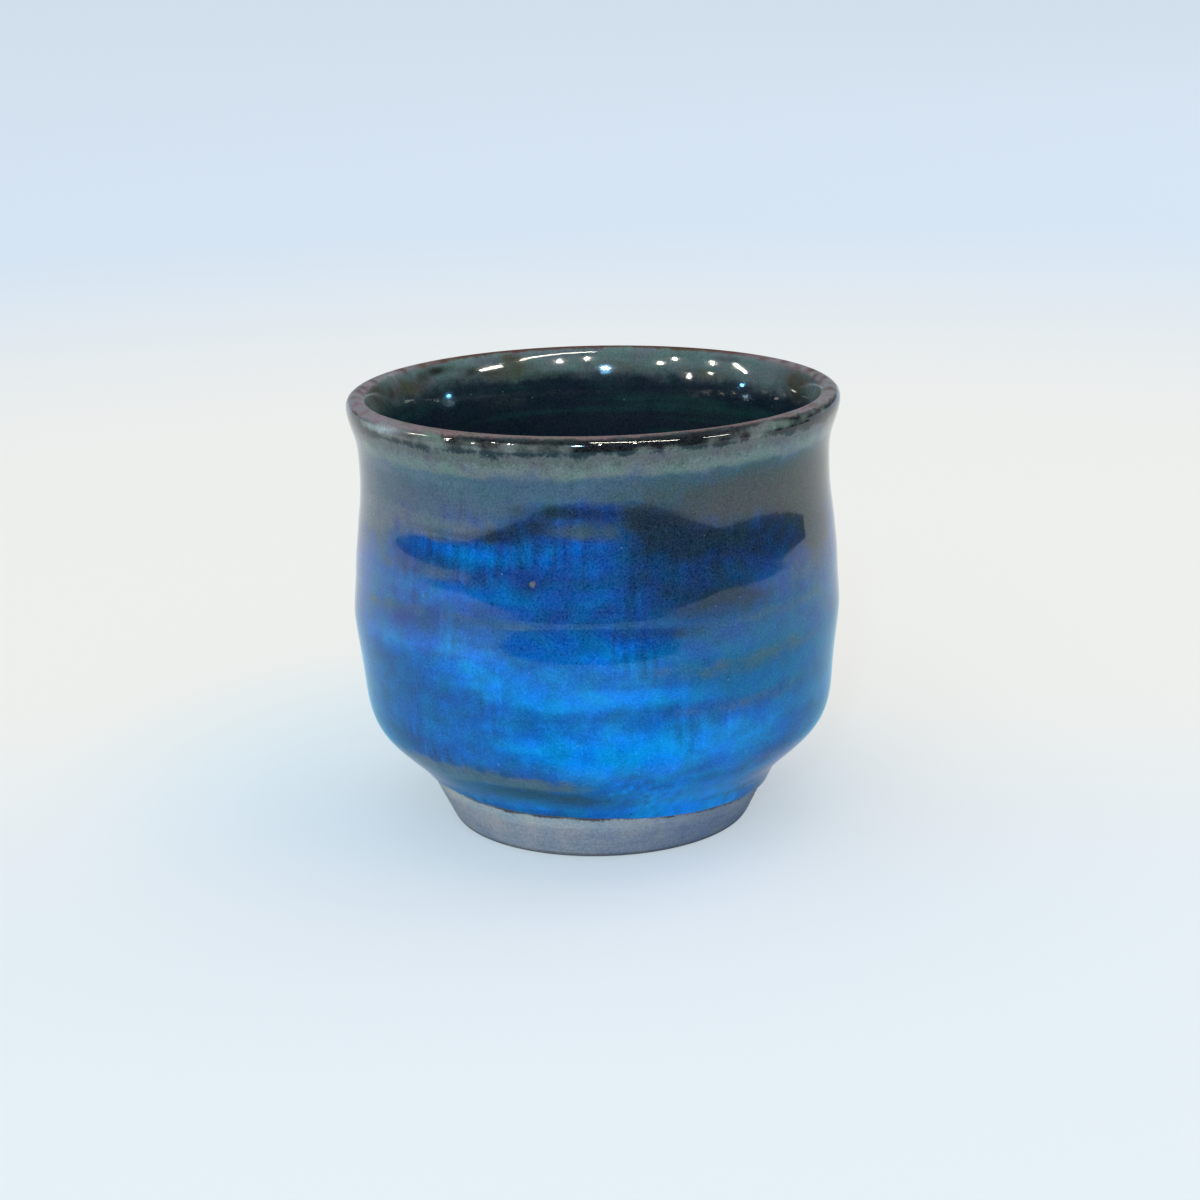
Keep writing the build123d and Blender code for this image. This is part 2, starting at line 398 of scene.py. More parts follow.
# Blotches at the lip, in the same way, with the distance from the crest in millimetres in the
# place of the height: below zero outside and above it inside
BLOTCHES = {
    "moss": [
        (-52, -1.6, 8, 1.0, 1.0), (-38, -1.7, 10, 1.0, 0.85), (-22, -2.1, 10, 0.6, 0.45),
        (-8, -2.0, 8, 0.6, 0.4), (42, -1.5, 9, 0.8, 0.9), (29, -2.1, 8, 0.6, 0.5),
        (12, -2.3, 9, 0.5, 0.35), (62, -1.2, 10, 1.0, 0.5), (-75, -1.4, 16, 1.3, 0.9),
        (90, -1.6, 16, 0.9, 0.6), (130, -1.8, 14, 0.8, 0.6), (-120, -1.5, 16, 0.9, 0.7),
        (170, -2.0, 12, 0.7, 0.5), (-160, -1.6, 10, 0.8, 0.5), (-100, -1.8, 12, 0.7, 0.5),
    ],
    # Painted highlight: pale blotches outside the lip on the left
    "milky": [
        (-53, -1.5, 4.5, 0.85, 0.95), (-58, -2.0, 4, 0.6, 0.6),
    ],
    "celadon": [
        (180, 2.0, 400, 2.6, 0.75), (160, 2.2, 20, 2.4, 0.9), (127, 2.6, 12, 2.2, 0.9),
        (-141, 1.8, 8, 1.2, 0.9), (-165, 2.6, 12, 2.0, 0.8), (60, 2.0, 30, 2.0, 0.5),
        (-70, 2.0, 30, 2.0, 0.5),
    ],
    "khaki": [
        (-120, 3.2, 10, 1.4, 0.8), (-155, 3.4, 9, 1.4, 0.7), (-157, 1.6, 4, 0.9, 0.7),
        (108, 2.6, 10, 1.8, 0.8), (172, 3.8, 10, 1.2, 0.5), (148, 4.0, 12, 1.0, 0.5),
        (-100, 2.2, 10, 1.8, 0.6), (20, 3.0, 20, 1.6, 0.5),
    ],
    "smoke": [
        (-132, 1.9, 6, 0.8, 0.75), (-126, 2.7, 4, 0.7, 0.5), (-146, 3.0, 8, 0.9, 0.6),
        (-104, 3.2, 10, 1.6, 0.55), (104, 4.0, 10, 1.4, 0.6), (-168, 4.6, 10, 0.8, 0.5),
        (140, 1.6, 5, 0.6, 0.4), (-30, 3.0, 16, 1.2, 0.5),
    ],
}
# Waves of the runs round the cup: height in millimetres, number, start in radians, and how far
# the wave moves on for each millimetre up
RUN_WAVES = ((0.35, 3.0, 0.4, 0.0), (0.2, 8.0, 0.0, 0.12))
# Wave of the lip's bands round the outside: height in millimetres, number and start in radians
LIP_WAVE = (0.3, 2.0, 0.2)
# How far to both sides of the crest the outside passes into the inside, in millimetres
CREST_BLEND = 0.2
# How steeply a run's lens falls off
LENS_POWER = 1.2


def spread(runs, phi, level):
    """How much glaze a list of runs brings, from 0 to 1.

    Each run is a lens of smooth edge, a bell curve of the distances over its half sizes. What
    the runs leave bare is multiplied together.
    """
    bare = np.ones(np.broadcast(phi, level).shape)
    for azimuth, middle, half_length, half_height, strength in runs:
        across = np.angle(np.exp(1j * (phi - radians(azimuth)))) / radians(half_length)
        up = (level - middle) / half_height
        bare = bare * (1.0 - strength * np.exp(-((across ** 2 + up ** 2) ** LENS_POWER)))
    return 1.0 - bare


def glaze_marks(outline, phi, along, height):
    """Marks that the glaze's material reads at each point.

    The tints come from their runs, which waver a little round the cup and stop at the crest.
    rim is the distance from the crest along the outline in millimetres, a little more or less
    round the outside, and lined is 1 inside.
    """
    from_crest = np.broadcast_to((along - outline.crest) / MM, height.shape)
    lined = smoothstep(-CREST_BLEND, CREST_BLEND, from_crest)
    level = height / MM
    for rise, number, start, lean in RUN_WAVES:
        level = level + rise * np.sin(number * phi + start + lean * height / MM)
    marks = {tint: spread(runs, phi, level) * (1.0 - lined) for tint, runs in RUNS.items()}
    marks |= {tint: spread(blotches, phi, from_crest) for tint, blotches in BLOTCHES.items()}
    rise, number, start = LIP_WAVE
    marks["rim"] = np.abs(from_crest) + rise * (1.0 - lined) * np.sin(number * phi + start)
    marks["lined"] = lined
    return marks


# Inner part of a dot where it is whole, as a share of its size
DOT_CORE = 0.4


class Tree:
    """Adds and links the nodes of a material or a world."""

    def __init__(self, owner):
        owner.use_nodes = True
        self.nodes = owner.node_tree.nodes
        self.links = owner.node_tree.links
        self.nodes.clear()

    def add(self, kind, inputs=(), **settings):
        """A node with its settings, and its inputs by name or place, linked where they are sockets."""
        node = self.nodes.new(kind)
        for name, value in settings.items():
            setattr(node, name, value)
        for name, value in dict(inputs).items():
            if isinstance(value, bpy.types.NodeSocket):
                self.links.new(value, node.inputs[name])
            else:
                node.inputs[name].default_value = value
        return node

    def finish(self, shader, kind="ShaderNodeOutputMaterial"):
        """Leads a shader to the output."""
        self.add(kind, {0: shader.outputs[0]})

    def math(self, operation, *values):
        """Result of a math node."""
        return self.add("ShaderNodeMath", dict(enumerate(values)), operation=operation).outputs[0]

    def product(self, first, *others):
        """Values multiplied together."""
        for other in others:
            first = self.math("MULTIPLY", first, other)
        return first

    def blend(self, base, *shares):
        """A value plus other values times their shares."""
        for value, share in shares:
            base = self.math("MULTIPLY_ADD", value, share, base)
        return base

    def vector(self, operation, *values, result=0):
        """Result of a vector math node."""
        node = self.add("ShaderNodeVectorMath", dict(enumerate(values)), operation=operation)
        return node.outputs[result]

    def scaled(self, body, factor):
        """Colour or place times a factor."""
        node = self.add("ShaderNodeVectorMath", {0: body, "Scale": factor}, operation="SCALE")
        return node.outputs[0]

    def mix(self, factor, a, b):
        """Colour between a and b."""
        a, b = (x if isinstance(x, bpy.types.NodeSocket) else (*x, 1.0) for x in (a, b))
        node = self.add("ShaderNodeMix", {0: factor, 6: a, 7: b}, data_type="RGBA")
        return node.outputs[2]

    def ramp(self, value, low, high):
        """Smooth 0 to 1 of a value between two limits."""
        node = self.add(
            "ShaderNodeMapRange", {0: value, 1: low, 2: high}, interpolation_type="SMOOTHSTEP"
        )
        return node.outputs[0]

    def mark(self, name):
        """A mark kept on the mesh."""
        return self.add("ShaderNodeAttribute", attribute_name=name).outputs["Fac"]

    def millimetres(self):
        """Object coordinates in millimetres."""
        return self.scaled(self.add("ShaderNodeTexCoord").outputs["Object"], 1.0 / MM)

    def axes(self, place):
        """The three coordinates of a place."""
        return self.add("ShaderNodeSeparateXYZ", {0: place}).outputs

    def noise(self, place, across, up, scale, detail, roughness):
        """Noise about 0, most of it within a half either way, on a place scaled across and up."""
        drawn = self.vector("MULTIPLY", place, (across, across, up))
        node = self.add(
            "ShaderNodeTexNoise",
            {"Vector": drawn, "Scale": scale, "Detail": detail, "Roughness": roughness},
        )
        return self.math("SUBTRACT", node.outputs[0], 0.5)

    def dots(self, place, scale, size, share):
        """Round dots, 1 in the middle: one to a cell, and only in a share of the cells."""
        cells = self.add("ShaderNodeTexVoronoi", {"Vector": place, "Scale": scale})
        lot = self.add("ShaderNodeSeparateColor", {0: cells.outputs[1]}).outputs[0]
        chosen = self.math("LESS_THAN", lot, share)
        return self.product(self.ramp(cells.outputs[0], size, size * DOT_CORE), chosen)


class Finish(Tree):
    """Tree of a material, with its patterns by name."""

    def __init__(self, owner, patterns):
        super().__init__(owner)
        self.place = self.millimetres()
        self.patterns = {name: self.noise(self.place, *values) for name, values in patterns.items()}

    def patterned(self, base, **shares):
        """A value plus the patterns named, each times its share."""
        return self.blend(base, *((self.patterns[name], share) for name, share in shares.items()))

    def ranged(self, pattern, limits):
        """Smooth 0 to 1 of a pattern between two limits."""
        return self.ramp(self.patterns[pattern], *limits)

    def surface(self, body, roughness, relief, strength, depth, ior):
        """Leads a colour, a roughness and a relief through one shader to the output."""
        bump = self.add("ShaderNodeBump", {"Strength": strength, "Distance": depth, "Height": relief})
        shader = self.add("ShaderNodeBsdfPrincipled", {
            "Base Color": body, "Roughness": roughness, "Normal": bump.outputs[0], "IOR": ior,
        })
        self.finish(shader)


# Patterns of the glaze, all noise: the scale of the place across and up, and the noise's scale to
# the millimetre, detail and roughness
GLAZE_PATTERNS = {
    "rings": (0.05, 1.0, 0.42, 2.0, 0.5),
    "clouds": (0.5, 1.0, 0.26, 1.5, 0.5),
    "mottle": (0.8, 1.0, 0.52, 0.8, 0.5),
    "fine": (1.0, 1.0, 2.0, 2.0, 0.6),
    "grit": (1.0, 1.0, 4.2, 1.0, 0.5),
    "hue": (0.7, 1.0, 0.45, 0.4, 0.5),
    "patches": (1.0, 1.0, 0.09, 1.0, 0.5),
    "streaks": (1.0, 0.12, 0.85, 1.2, 0.5),
}
# Between which values of the patches the streaks come in
STREAKED = (0.0, 0.12)
# Ragged edges of the runs and blotches, by tint: how much the rings, the clouds and the mottle
# move an edge, and the amounts of glaze at which the tint starts and is whole
EDGES = {
    "teal": (0.3, 0.6, 0.6, 0.0, 1.0),
    "steel": (0.3, 0.9, 0.9, 0.0, 0.9),
    "ash": (0.3, 0.8, 1.2, 0.05, 0.9),
    "olive": (0.3, 0.8, 0.8, 0.0, 0.85),
    "ink": (0.2, 0.6, 0.8, 0.05, 0.95),
    "moss": (0.0, 0.8, 1.6, 0.1, 0.85),
    "milky": (0.0, 0.4, 0.8, 0.05, 1.0),
    "celadon": (0.2, 0.6, 0.6, 0.0, 0.9),
    "khaki": (0.2, 0.7, 0.9, 0.05, 1.0),
    "smoke": (0.2, 0.7, 1.0, 0.05, 0.95),
}
# How much the fine pattern moves an edge, and the amounts of glaze over which edges turn ragged
FINE_EDGE = 0.22
RAGGED = (0.0, 0.3)
# How far red, green and blue drift where the hue pattern goes from its low to its high limit,
# each as a part of the most, and the most in the blue alone and in all glaze
DRIFT = (1.6, -0.8, 0.6)
DRIFT_HUES = (-0.2, 0.2)
BLUE_DRIFT, WHOLE_DRIFT = 0.065, 0.05
# Blue ground: its level where nothing runs, and the levels at which it changes
BLUE_LEVEL = 0.1
DEEP_TO_COBALT, COBALT_TO_AZURE = (-0.05, 0.55), (0.4, 1.0)
INK_COVER = 0.94
# Wash of greener glaze inside
WASH = (0.0, 0.45)
# Bands outside the lip: where each starts and where it is whole, in millimetres from the crest
PALE_BAND, UMBER_BAND, DARK_BAND = (6.6, 5.4), (5.0, 3.7), (3.35, 2.65)
UMBER_COVER = 0.5
# Values of the hue pattern where pale glaze turns to ash and moss to khaki
PALE_HUES, MOSS_HUES = (0.0, 0.4), (0.05, 0.3)
# Bare crest: where it starts and is whole in millimetres from its middle, how much wider it is at
# the sides, where the sides start and are whole, where it turns from worn clay to rust towards
# the back, and values of the mottle where mauve comes in. The wider, paler mauve crest at the
# sides is a painted reflection
CREST_BAND = (1.0, 0.35)
CREST_WIDER = 0.5
CREST_SIDES = (16.0, 29.0)
CREST_BACK = (-14.0, 10.0)
MAUVE_MOTTLE = (-0.3, 0.1)
# The one pinhole in the glaze: its middle, and where its edge starts and is whole, in millimetres
PINHOLE = (-7.58, -30.42, 39.5)
PINHOLE_EDGE = (0.45, 0.15)
# Pits, and painted glints (pale dots that stand in for tiny highlights): cells to the millimetre, size
# in cells and share of the cells
PITS, PAINTED_GLINTS = (1.1, 0.2, 0.12), (0.7, 0.11, 0.14)
PIT_SHADE = 0.55
PAINTED_GLINT_COVER = 0.3
PAINTED_GLINT_COLOUR = (0.3, 0.42, 0.5)
# Grain: how much it changes the tone, and how much light it adds inside and more outside
GRAIN_TONE = 0.3
GRAIN_HAZE, OUTER_HAZE = 0.008, 0.009
# Roughness of the glaze, what the bare crest, the lining and its depths add to it, and how far
# from the crest those depths start and are whole, in millimetres
GLAZE_ROUGH = 0.06
BARE_ROUGH, LINED_ROUGH, DEPTHS_ROUGH = 0.25, 0.02, 0.16
DEPTHS = (5.0, 12.0)
# Relief of the glaze: strength and depth
GLAZE_RELIEF = (0.25, 0.06 * MM)
GLAZE_IOR = 1.5


class Glaze(Finish):
    """Tree of a glaze, which lays tints over each other."""

    def __init__(self, owner):
        super().__init__(owner, GLAZE_PATTERNS)
        self.patterns["striae"] = self.product(
            self.patterns["streaks"], self.ranged("patches", STREAKED)
        )

    def share(self, tint):
        """How much of a tint shows: the glaze its runs bring, with ragged edges."""
        ring, cloud, mottle, low, high = EDGES[tint]
        laid = self.mark(tint)
        ragged = self.patterned(0.0, rings=ring, clouds=cloud, mottle=mottle, fine=FINE_EDGE)
        return self.ramp(self.blend(laid, (self.ramp(laid, *RAGGED), ragged)), low, high)

    def tinted(self, body, colours, *tints):
        """A colour with tints laid over it in turn."""
        for tint in tints:
            body = self.mix(self.share(tint), body, getattr(colours, tint))
        return body

    def drifting(self, body, most):
        """A colour that drifts a little in hue from place to place."""
        cool = [1.0 - most * part for part in DRIFT]
        warm = [1.0 + most * part for part in DRIFT]
        return self.vector("MULTIPLY", body, self.mix(self.ranged("hue", DRIFT_HUES), cool, warm))


def blue_outside(tree, colours):
    """Blue ground, from deep to azure by its level, with thinner and darker tints over it."""
    level = tree.blend(BLUE_LEVEL, (tree.mark("azure"), 1.0))
    level = tree.patterned(level, rings=0.5, clouds=0.55, mottle=0.4, striae=0.6)
    body = tree.mix(tree.ramp(level, *DEEP_TO_COBALT), colours.deep, colours.cobalt)
    body = tree.mix(tree.ramp(level, *COBALT_TO_AZURE), body, colours.azure)
    body = tree.drifting(tree.tinted(body, colours, "teal"), BLUE_DRIFT)
    body = tree.tinted(body, colours, "steel", "ash", "olive")
    return tree.mix(tree.product(tree.share("ink"), INK_COVER), body, colours.ink)


def dark_inside(tree, colours):
    """Dark lining, washed with greener glaze."""
    wash = tree.ramp(tree.patterned(0.0, rings=2.0, clouds=0.5, mottle=0.1), *WASH)
    return tree.mix(wash, colours.lining, colours.bloom)


def lip_bands(tree, colours, body, outside):
    """Pale, umber and dark bands outside the lip, blotches of glaze on both sides of it, and a painted
    highlight outside on the left.
    """
    rim = tree.patterned(tree.mark("rim"), clouds=1.1, mottle=1.6, fine=1.3)
    pale = tree.mix(tree.ranged("hue", PALE_HUES), colours.pale, colours.ash)
    bands = (
        (PALE_BAND, 1.0, pale),
        (UMBER_BAND, UMBER_COVER, colours.umber),
        (DARK_BAND, 1.0, colours.brown),
    )
    for band, cover, shade in bands:
        body = tree.mix(tree.product(tree.ramp(rim, *band), outside, cover), body, shade)
    moss = tree.mix(tree.ranged("hue", MOSS_HUES), colours.moss, colours.khaki)
    body = tree.mix(tree.share("moss"), body, moss)
    # The first blotch laid here is a painted highlight
    return tree.tinted(body, colours, "milky", "celadon", "khaki", "smoke")


def bare_crest(tree, colours):
    """How bare the crest is, and its colour: worn clay in front, rust behind, and at the sides a
    painted reflection in mauve, where the crest is drawn wider.
    """
    across, back, _ = tree.axes(tree.place)
    # Painted reflection: at the sides the crest is drawn wider and turns to pale mauve
    sides = tree.ramp(tree.math("ABSOLUTE", across), *CREST_SIDES)
    crust = tree.mix(tree.ramp(back, *CREST_BACK), colours.worn, colours.rust)
    mauve = tree.product(sides, tree.ranged("mottle", MAUVE_MOTTLE))
    crust = tree.mix(mauve, crust, colours.mauve)
    crest = tree.blend(tree.mark("rim"), (sides, -CREST_WIDER))
    return tree.ramp(tree.patterned(crest, mottle=1.1, fine=0.8), *CREST_BAND), crust


def glaze_material(name, colours):
    """Glossy glaze: blue runs outside, a dark lining inside and a lip that breaks to brown and rust."""
    material = bpy.data.materials.new(name)
    tree = Glaze(material)
    lined = tree.mark("lined")
    outside = tree.math("SUBTRACT", 1.0, lined)
    body = tree.mix(lined, blue_outside(tree, colours), dark_inside(tree, colours))
    body = lip_bands(tree, colours, body, outside)
    bare, crust = bare_crest(tree, colours)
    body = tree.mix(bare, body, crust)
    from_pinhole = tree.vector("DISTANCE", tree.place, PINHOLE, result="Value")
    pinhole = tree.ramp(tree.patterned(from_pinhole, fine=1.2), *PINHOLE_EDGE)
    body = tree.mix(pinhole, body, colours.moss)

    pits = tree.product(tree.dots(tree.place, *PITS), outside)
    # Painted glints: pale dots in the colour that stand in for tiny highlights
    painted_glints = tree.dots(tree.place, *PAINTED_GLINTS)
    grain = tree.patterned(0.0, fine=1.0, grit=2.4)
    tone = tree.blend(tree.patterned(1.0, striae=0.6, mottle=0.3), (grain, GRAIN_TONE))
    tone = tree.product(tone, tree.blend(1.0, (pits, -PIT_SHADE)))
    body = tree.drifting(tree.scaled(body, tone), WHOLE_DRIFT)
    haze = tree.product(grain, tree.blend(GRAIN_HAZE, (outside, OUTER_HAZE)))
    body = tree.vector("ADD", body, tree.scaled((1.0, 1.0, 1.0), haze))
    body = tree.vector("MAXIMUM", body, (0.0, 0.0, 0.0))
    # Painted highlights: the pale glint dots laid over the colour
    body = tree.mix(tree.product(painted_glints, PAINTED_GLINT_COVER), body, PAINTED_GLINT_COLOUR)

    depths = tree.product(lined, tree.ramp(tree.mark("rim"), *DEPTHS))
    roughness = tree.blend(
        tree.patterned(GLAZE_ROUGH, mottle=0.04),
        (bare, BARE_ROUGH), (depths, DEPTHS_ROUGH), (lined, LINED_ROUGH),
    )
    relief = tree.patterned(0.0, mottle=0.4, fine=0.06)
    tree.surface(body, roughness, relief, *GLAZE_RELIEF, GLAZE_IOR)
    return material


# Patterns of the clay, given as those of the glaze
CLAY_PATTERNS = {
    "lines": (0.05, 1.0, 2.2, 3.0, 0.6),
    "grain": (1.0, 1.0, 2.6, 4.0, 0.7),
    "cloud": (1.0, 1.0, 0.25, 3.0, 0.5),
}
# Painted shade on the clay's right side: where the clay starts to darken and is darkest, from left to
# right in millimetres
PAINTED_SHADE_SIDE = (-12.0, 16.0)
# Factors of cooler and warmer clay, and values of the clouds at which it changes
COOL_CLAY, WARM_CLAY = (0.9, 0.98, 1.06), (1.1, 1.02, 0.94)
WARM_CLOUD = (-0.2, 0.2)
# Bands beside the glaze, in millimetres from its edge, and how much of the bloom the painted shade on
# the right takes
BLOOM_BAND, SCORCH_BAND = (2.6, 0.8), (0.35, 0.0)
BLOOM_LOST = 0.9
# Painted contact shadow: a dark band on the clay just above the table, where it starts and is whole, in
# millimetres, and its cover
CONTACT_SHADOW_LINE = (0.9, 0.3)
CONTACT_SHADOW_COVER = 0.65
CLAY_ROUGH = 0.75
CLAY_RELIEF = (0.5, 0.1 * MM)
CLAY_IOR = 1.45


def clay_material(name, colours):
    """Bare fired clay: grainy, with fine turned lines, darker beside the glaze, and with painted shade
    to the right.
    """
    material = bpy.data.materials.new(name)
    tree = Finish(material, CLAY_PATTERNS)
    near = tree.patterned(tree.mark("glazed"), grain=0.8, cloud=1.5)
    across, _, up = tree.axes(tree.place)
    # Painted shade: the clay turns to its shaded colour towards the right
    painted_shade_side = tree.ramp(across, *PAINTED_SHADE_SIDE)
    body = tree.mix(painted_shade_side, colours.clay, colours.shaded)
    bloomed = tree.product(tree.ramp(near, *BLOOM_BAND), tree.blend(1.0, (painted_shade_side, -BLOOM_LOST)))
    body = tree.mix(bloomed, body, colours.bloomed)
    warmth = tree.ramp(tree.patterned(0.0, cloud=1.0, grain=0.5), *WARM_CLOUD)
    body = tree.vector("MULTIPLY", body, tree.mix(warmth, COOL_CLAY, WARM_CLAY))
    body = tree.mix(tree.ramp(near, *SCORCH_BAND), body, colours.scorch_and_contact_shade)
    # Painted contact shadow: the foot darkens just above the table
    contact_shadow = tree.product(tree.ramp(up, *CONTACT_SHADOW_LINE), CONTACT_SHADOW_COVER)
    body = tree.mix(contact_shadow, body, colours.scorch_and_contact_shade)
    body = tree.scaled(body, tree.patterned(1.0, lines=0.35, grain=1.2, cloud=0.4))
    roughness = tree.patterned(CLAY_ROUGH, grain=0.2)
    relief = tree.patterned(0.0, lines=0.5, grain=0.6)
    tree.surface(body, roughness, relief, *CLAY_RELIEF, CLAY_IOR)
    return material


def settle(piece, material, node):
    """Gives a piece its material, and lets it stand for its CAD node."""
    piece.data.materials.append(material)
    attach(piece, "root")
    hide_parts(node)


# Waves of the outer coat's lower edge: height in millimetres, number and start in radians
EDGE_WAVES = ((0.14, 3.0, 0.8), (0.07, 7.0, 2.0), (0.03, 19.0, 0.0))
# How far the edge rises to the front, as a share of its rise to the left
EDGE_FRONT = 0.25


def glaze_edge(sizes, outline, phi):
    """Length along the outline of the outer coat's lower edge, at each azimuth.

    The edge is a level ring tilted up to the left and a little to the front, with a few waves.
    """
    waves = sum(rise * np.sin(number * phi + start) for rise, number, start in EDGE_WAVES)
    tilt = sizes.edge_tilt * (np.sin(phi) - EDGE_FRONT * np.cos(phi))
    return np.interp(sizes.edge - tilt + waves * MM, *outline.climb)


# Underside of the foot, from the axis out, in millimetres but for shares of the recess's radius.
# Recess top: share and drop. Recess wall: share and height. Inner and outer edge of the ring:
# distance outwards from the recess's or the foot's radius, and height
RECESS_TOP = [
    (0.0, 0.0), (0.3, 0.0), (0.6, 0.0), (0.82, 0.0), (0.86, 0.06), (0.90, 0.3), (0.935, 0.8),
    (0.955, 1.6),
]
RECESS_WALL = [(0.975, 1.6), (0.99, 0.5)]
RING_INNER_EDGE = [(0.1, 0.15), (0.4, 0.02), (0.7, 0.0)]
RING_OUTER_EDGE = [(-0.9, 0.0), (-0.5, 0.02), (-0.12, 0.16), (0.12, 0.5)]


def foot_section(sizes):
    """Radius and height of points under the foot: the recess's top and wall, and a rounded ring."""
    foot, recess = sizes.foot / 2.0, sizes.recess / 2.0
    return np.array(
        [(recess * share, sizes.recess_depth - drop * MM) for share, drop in RECESS_TOP]
        + [(recess * share, rise * MM) for share, rise in RECESS_WALL]
        + [(recess + out * MM, rise * MM) for out, rise in RING_INNER_EDGE]
        + [(foot + out * MM, rise * MM) for out, rise in RING_OUTER_EDGE]
    )


# Lines of trimming: radians to the millimetre up of the two sines, sway and depth
TRIM_LINES = (9.0, 3.7)
TRIM_SWAY = 2.0
TRIM_DEPTH = 0.03 * MM


def trimming_lines(phi, height):
    """Depth of the lines of trimming: two sines of the height multiplied, which sway round the foot."""
    fine, coarse = (lines * height / MM for lines in TRIM_LINES)
    return TRIM_DEPTH * np.sin(fine + TRIM_SWAY * np.sin(phi)) * np.sin(coarse + phi)


# Points round the clay, the outer coat and the two coats at the rim
CLAY_COLUMNS, OUTER_COLUMNS, RIM_COLUMNS = 400, 512, 640
# Rows of the clay: to the shoulder, up the wall, over the lip and down the inside, and up the foot
CLAY_ROWS = (24, 60, 30, 60)
FOOT_ROWS = 44
SHOULDER = 8.5 * MM
# Rows of the coats, and of their backs on the clay
BEAD_ROWS, OUTER_ROWS, LIP_ROWS, INNER_ROWS = 9, 166, 90, 110
OUTER_BACK_ROWS, RIM_BACK_ROWS = 10, 24
# Length of the bead that the outer coat's lower edge rolls to
BEAD = 0.7 * MM


class SAKECUP_OT_clay_body(bpy.types.Operator):
    """Make the stoneware body, with its wall, floor and trimmed foot"""

    bl_idname = "sakecup.clay_body"
    bl_label = "Clay body"

    def execute(self, context):
        sizes = context.scene.cup_sizes
        outline = cup_outline(sizes)
        phi = azimuths(CLAY_COLUMNS)[None, :]
        shoulder = np.interp(SHOULDER, *outline.climb)
        stops = (0.0, shoulder, outline.outer_band, outline.inner_band, outline.end)
        runs = [np.linspace(*run)[1:] for run in zip(stops, stops[1:], CLAY_ROWS)]
        wall = np.concatenate([[0.0], *runs])[:, None]
        wall_radius, wall_height = lay(sizes, outline, phi, wall, 0.0)
        wall_radius[-1] = 0.0
        under = foot_section(sizes)
        start = np.array([wall_radius[0].mean(), wall_height[0].mean()])
        side = under[-1] + (start - under[-1]) * np.linspace(0.0, 1.0, FOOT_ROWS)[1:-1, None]
        lower = np.repeat(np.concatenate((under, side))[..., None], phi.shape[1], -1)
        trimmed = lower[len(under):]
        trimmed[:, 0] += trimming_lines(phi, trimmed[:, 1])
        radius = np.concatenate((lower[:, 0], wall_radius))
        height = np.concatenate((lower[:, 1], wall_height))
        edge = np.interp(glaze_edge(sizes, outline, phi), outline.along, outline.height)
        marks = {"glazed": np.abs(edge - height) / MM}
        piece = turned("clay_body_bare", phi, radius, height, marks, capped=True)
        material = clay_material("stoneware", context.scene.cup_colours)
        settle(piece, material, "clay_body")
        return {"FINISHED"}


def coat(name, sizes, outline, phi, faces, capped=False):
    """Closed coat of glaze from its faces in turn, each some lengths along the outline and a lift."""
    laid = [lay(sizes, outline, phi, along, lift) for along, lift in faces]
    radius, height = (np.concatenate(values) for values in zip(*laid))
    if capped:
        radius[[0, -1]] = 0.0
    along = np.concatenate([along for along, _ in faces])
    return turned(name, phi, radius, height, glaze_marks(outline, phi, along, height), capped)


class SAKECUP_OT_outer_glaze(bpy.types.Operator):
    """Make the blue outer coat, from its rolled lower edge to the lip's coat"""

    bl_idname = "sakecup.outer_glaze"
    bl_label = "Outer glaze"

    def execute(self, context):
        sizes = context.scene.cup_sizes
        outline = cup_outline(sizes)
        phi = azimuths(OUTER_COLUMNS)[None, :]
        edge = glaze_edge(sizes, outline, phi)
        bead = BEAD * (1.0 - np.cos(np.linspace(0.0, pi / 2.0, BEAD_ROWS)))[:, None]
        above = (outline.outer_band - edge - BEAD) * np.linspace(0.0, 1.0, OUTER_ROWS)[1:, None]
        skin = np.concatenate((edge + bead, edge + BEAD + above))
        lift = sizes.glaze * np.sqrt(1.0 - (1.0 - np.clip((skin - edge) / BEAD, 0.0, 1.0)) ** 2)
        down = np.linspace(1.0, 0.0, OUTER_BACK_ROWS)[:-1, None]
        back = edge + (outline.outer_band - edge) * down
        piece = coat("outer_glaze_blue", sizes, outline, phi, [(skin, lift), (back, 0.0)])
        material = glaze_material("blue_glaze", context.scene.cup_colours)
        settle(piece, material, "outer_glaze")
        return {"FINISHED"}


class SAKECUP_OT_lip_glaze(bpy.types.Operator):
    """Make the coat over the lip, from the outside across the crest to the inside"""

    bl_idname = "sakecup.lip_glaze"
    bl_label = "Lip glaze"

    def execute(self, context):
        sizes = context.scene.cup_sizes
        outline = cup_outline(sizes)
        phi = azimuths(RIM_COLUMNS)[None, :]
        skin = np.linspace(outline.outer_band, outline.inner_band, LIP_ROWS)[:, None]
        back = np.linspace(outline.inner_band, outline.outer_band, RIM_BACK_ROWS)[:, None]
        faces = [(skin, sizes.glaze), (back, 0.0)]
        piece = coat("lip_glaze_dark", sizes, outline, phi, faces)
        material = glaze_material("dark_lip_glaze", context.scene.cup_colours)
        settle(piece, material, "lip_glaze")
        return {"FINISHED"}


